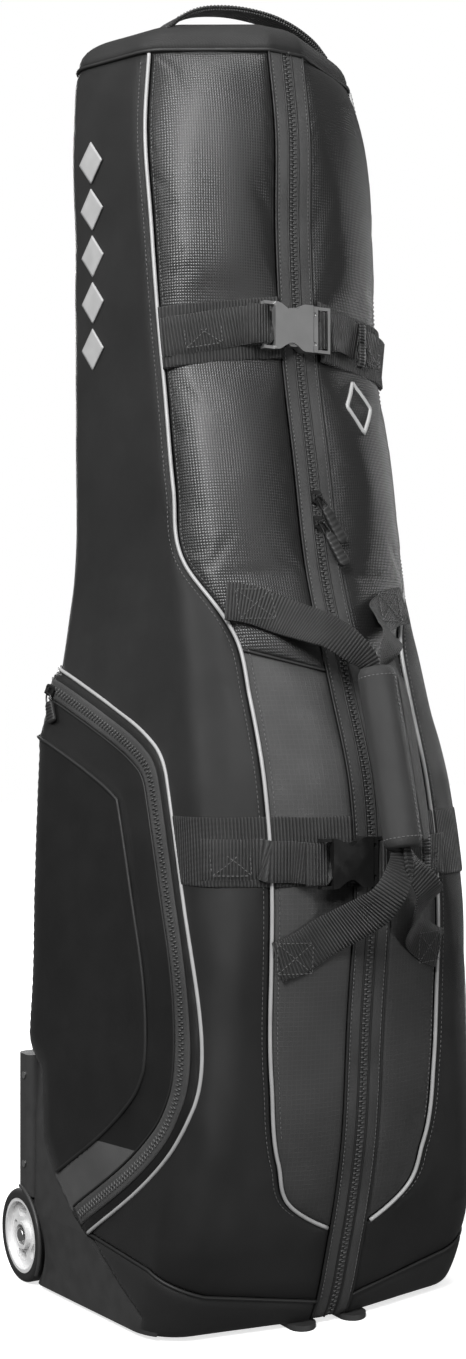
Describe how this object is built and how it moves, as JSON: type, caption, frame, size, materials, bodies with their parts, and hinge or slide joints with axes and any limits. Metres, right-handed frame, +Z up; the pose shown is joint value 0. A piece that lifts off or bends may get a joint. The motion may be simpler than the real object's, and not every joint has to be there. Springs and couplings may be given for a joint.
{
  "type": "golf travel case",
  "caption": "Tall wheeled soft golf club travel case with padded top, full-length front zip, belt buckles, side pockets, wrapped carry handle and top handle.",
  "frame": {"origin": "middle of the flat underside of the skid plate, on the floor below the axis of the bag", "axes": "+Z up the bag, -Y out of the zipped front, +X to the right of someone facing the front"},
  "size_m": [0.4128, 0.4446, 1.3038],
  "materials": {
    "shell_fabric": "coated woven polyester, matt black",
    "pad_fabric": "padded, dot-embossed coated fabric with a sheen",
    "ripstop_fabric": "fine ripstop weave, dark grey",
    "webbing": "ribbed nylon webbing",
    "zip_tape": "woven zip tape",
    "zip_coil": "moulded nylon coil",
    "reflective_piping": "silver-grey piping cord",
    "foam_lining": "lined foam",
    "board": "moulded board",
    "black_plastic": "grained black moulding",
    "grey_metal": "satin grey",
    "black_metal": "black nickel",
    "pull_rubber": "ribbed soft rubber",
    "wrap_leather": "smooth padded wrap",
    "steel": "zinc plated",
    "hub_silver": "silver paint",
    "tyre_rubber": "black rubber"
  },
  "bodies": {
    "case": {"axle_nuts": "steel", "back_panel": "shell_fabric", "back_stiffener": "board", "base_boot": "shell_fabric", "base_tray": "board", "body_piping": "reflective_piping", "carry_webbing": "webbing", "handle_rivets": "black_metal", "handle_wrap": "wrap_leather", "housing_screws": "steel", "inner_straps": "webbing", "left_front_panel": "ripstop_fabric", "left_pocket": "shell_fabric", "left_side_panel": "shell_fabric", "left_upper_pad": "pad_fabric", "left_wheel_housing": "black_plastic", "lower_band": "webbing", "lower_buckle_socket": "black_plastic", "lower_strap": "webbing", "pocket_zippers": "zip_coil", "right_front_panel": "ripstop_fabric", "right_pocket": "shell_fabric", "right_side_panel": "shell_fabric", "right_upper_pad": "pad_fabric", "right_wheel_housing": "black_plastic", "skid_plate": "black_plastic", "strap_keepers": "webbing", "top_cap": "shell_fabric", "top_handle": "webbing", "top_padding": "foam_lining", "upper_band": "webbing", "upper_buckle_socket": "grey_metal", "upper_strap": "webbing", "wheel_axles": "steel", "zipper_coil": "zip_coil", "zipper_tapes": "zip_tape"},
    "left_wheel": {"left_hub": "hub_silver", "left_tyre": "tyre_rubber", "left_bearings": "steel"},
    "right_wheel": {"right_hub": "hub_silver", "right_tyre": "tyre_rubber", "right_bearings": "steel"},
    "upper_slide": {"upper_slider": "black_metal"},
    "upper_tab": {"upper_pull": "pull_rubber"},
    "lower_slide": {"lower_slider": "black_metal"},
    "lower_tab": {"lower_pull": "pull_rubber"},
    "left_pocket_slide": {"left_pocket_slider": "black_metal"},
    "left_pocket_tab": {"left_pocket_pull": "pull_rubber"},
    "right_pocket_slide": {"right_pocket_slider": "black_metal"},
    "right_pocket_tab": {"right_pocket_pull": "pull_rubber"},
    "upper_plug": {"upper_buckle_plug": "grey_metal", "upper_strap_tail": "webbing"},
    "upper_prong_a": {"upper_prong_top": "grey_metal"},
    "upper_prong_b": {"upper_prong_bottom": "grey_metal"},
    "lower_plug": {"lower_buckle_plug": "black_plastic", "lower_strap_tail": "webbing"},
    "lower_prong_a": {"lower_prong_top": "black_plastic"},
    "lower_prong_b": {"lower_prong_bottom": "black_plastic"},
    "flap": {"wrap_flap": "wrap_leather"}
  },
  "joints": [
    {"name": "left_wheel_spin", "type": "hinge", "parent": "case", "child": "left_wheel", "pos_m": [-0.1905, 0.177, 0.047], "axis": [1, 0, 0], "continuous": true},
    {"name": "right_wheel_spin", "type": "hinge", "parent": "case", "child": "right_wheel", "pos_m": [0.1905, 0.177, 0.047], "axis": [1, 0, 0], "continuous": true},
    {"name": "upper_slider_run", "type": "slide", "parent": "case", "child": "upper_slide", "axis": [0, 0.1983, 0.9801], "range_m": [0, 0.1]},
    {"name": "upper_pull_lift", "type": "hinge", "parent": "upper_slide", "child": "upper_tab", "pos_m": [0, -0.0712, 0.79431], "axis": [-1, 0, 0], "range_deg": [0, 140]},
    {"name": "lower_slider_run", "type": "slide", "parent": "case", "child": "lower_slide", "axis": [0, -0.1983, -0.9801], "range_m": [0, 0.036]},
    {"name": "lower_pull_lift", "type": "hinge", "parent": "lower_slide", "child": "lower_tab", "pos_m": [0, -0.07626, 0.76931], "axis": [-1, 0, 0], "range_deg": [0, 100]},
    {"name": "right_pocket_run", "type": "slide", "parent": "case", "child": "right_pocket_slide", "axis": [-0.153, -0.9149, -0.3735], "range_m": [0, 0.066]},
    {"name": "right_pocket_pull_lift", "type": "hinge", "parent": "right_pocket_slide", "child": "right_pocket_tab", "pos_m": [0.18957, 0.13863, 0.60632], "axis": [-0.177, -0.3465, 0.9212], "range_deg": [0, 90]},
    {"name": "left_pocket_run", "type": "slide", "parent": "case", "child": "left_pocket_slide", "axis": [0.153, -0.9149, -0.3735], "range_m": [0, 0.066]},
    {"name": "left_pocket_pull_lift", "type": "hinge", "parent": "left_pocket_slide", "child": "left_pocket_tab", "pos_m": [-0.18957, 0.13863, 0.60632], "axis": [-0.177, 0.3465, -0.9212], "range_deg": [0, 90]},
    {"name": "upper_buckle_release", "type": "slide", "parent": "case", "child": "upper_plug", "axis": [1, 0, 0], "range_m": [0, 0.032]},
    {"name": "upper_prong_squeeze_top", "type": "hinge", "parent": "upper_plug", "child": "upper_prong_a", "pos_m": [0.01, -0.045, 0.9745], "axis": [0, -1, 0], "range_deg": [0, 5], "stiffness_Nm_per_rad": 0.05},
    {"name": "upper_prong_squeeze_bottom", "type": "hinge", "parent": "upper_plug", "child": "upper_prong_b", "pos_m": [0.01, -0.045, 0.9455], "axis": [0, 1, 0], "range_deg": [0, 5], "stiffness_Nm_per_rad": 0.05},
    {"name": "lower_buckle_release", "type": "slide", "parent": "case", "child": "lower_plug", "axis": [1, 0, 0], "range_m": [0, 0.032]},
    {"name": "lower_prong_squeeze_top", "type": "hinge", "parent": "lower_plug", "child": "lower_prong_a", "pos_m": [-0.006, -0.169, 0.4645], "axis": [0, -1, 0], "range_deg": [0, 5], "stiffness_Nm_per_rad": 0.05},
    {"name": "lower_prong_squeeze_bottom", "type": "hinge", "parent": "lower_plug", "child": "lower_prong_b", "pos_m": [-0.006, -0.169, 0.4355], "axis": [0, 1, 0], "range_deg": [0, 5], "stiffness_Nm_per_rad": 0.05},
    {"name": "flap_open", "type": "hinge", "parent": "case", "child": "flap", "pos_m": [0.0242, -0.205, 0.464], "axis": [0.0237, -0.2313, -0.9726], "range_deg": [0, 105]}
  ],
  "couplings": [
    {"joint": "upper_prong_squeeze_bottom", "follows": "upper_prong_squeeze_top", "ratio": 1},
    {"joint": "lower_prong_squeeze_bottom", "follows": "lower_prong_squeeze_top", "ratio": 1}
  ]
}
